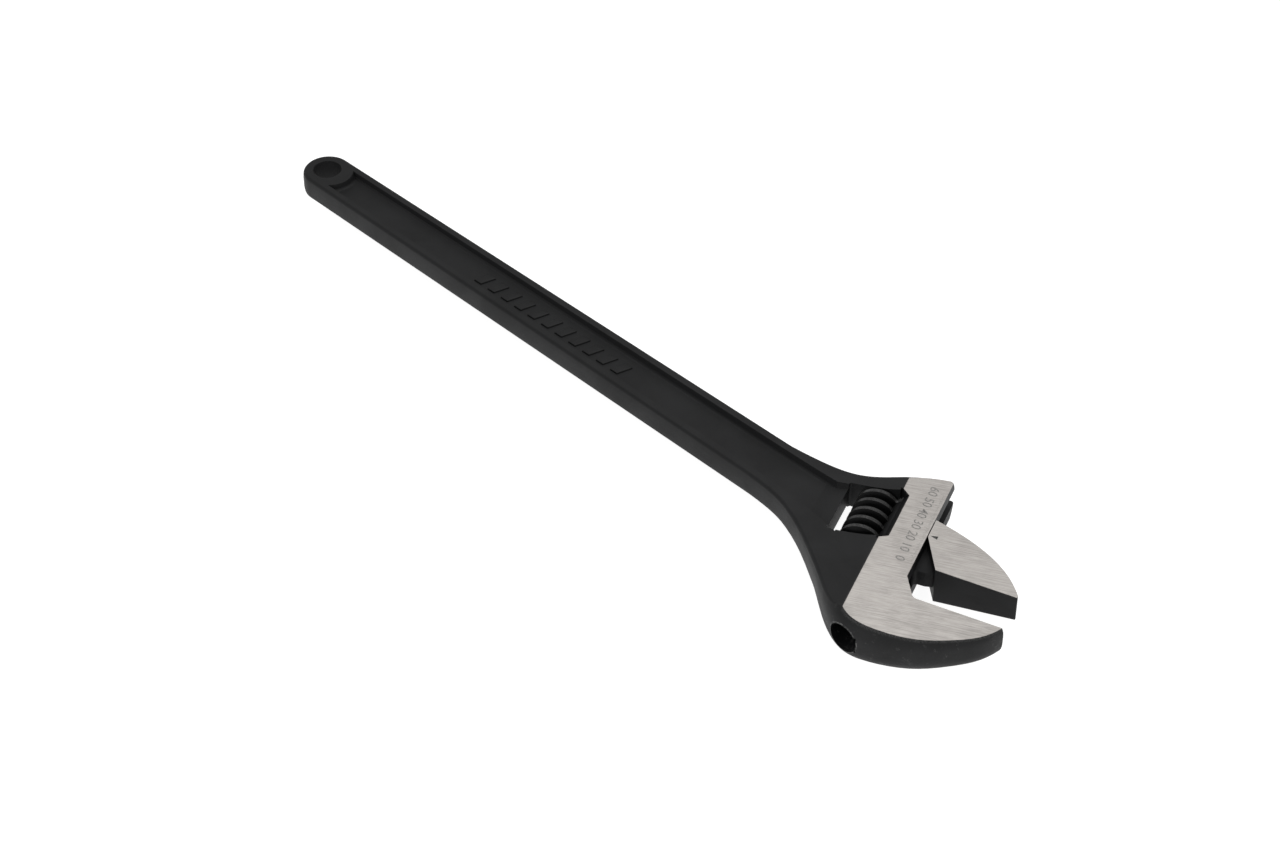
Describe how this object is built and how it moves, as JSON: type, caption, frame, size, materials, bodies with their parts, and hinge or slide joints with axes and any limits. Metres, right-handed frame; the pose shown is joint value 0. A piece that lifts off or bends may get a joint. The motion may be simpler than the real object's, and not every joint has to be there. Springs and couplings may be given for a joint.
{
  "type": "adjustable wrench",
  "caption": "Large adjustable wrench: drop-forged I-section handle with a hanging hole, fixed jaw, and a sliding jaw moved by a worm in the head.",
  "frame": {"origin": "centre of the hanging hole, half way through the handle's thickness", "axes": "+X along the handle towards the head, +Z square to the flat of the tool, +Y to the side the moving jaw is on"},
  "size_m": [0.6113, 0.1334, 0.0306],
  "materials": {
    "forged_black": "black phosphate on the forging, bright ground head faces",
    "jaw_black": "black phosphate, bright ground faces",
    "worm_steel": "black oxide, crests rubbed bright",
    "pin_steel": "turned",
    "spring_steel": "drawn wire"
  },
  "bodies": {
    "body": {"forged_body": "forged_black", "worm_pin": "pin_steel", "pin_spring": "spring_steel"},
    "jaw": {"moving_jaw": "jaw_black"},
    "worm_knurl": {"worm": "worm_steel"}
  },
  "joints": [
    {"name": "jaw_slide", "type": "slide", "parent": "body", "child": "jaw", "axis": [-0.3827, 0.9239, 0], "range_m": [-0.0262, 0.0358]},
    {"name": "worm_spin", "type": "hinge", "parent": "body", "child": "worm_knurl", "pos_m": [0.47916, 0.00591, 0], "axis": [-0.3827, 0.9239, 0], "range_deg": [-1612, 1180]}
  ],
  "couplings": [
    {"joint": "worm_spin", "follows": "jaw_slide", "rad_per_m": -785.4}
  ]
}
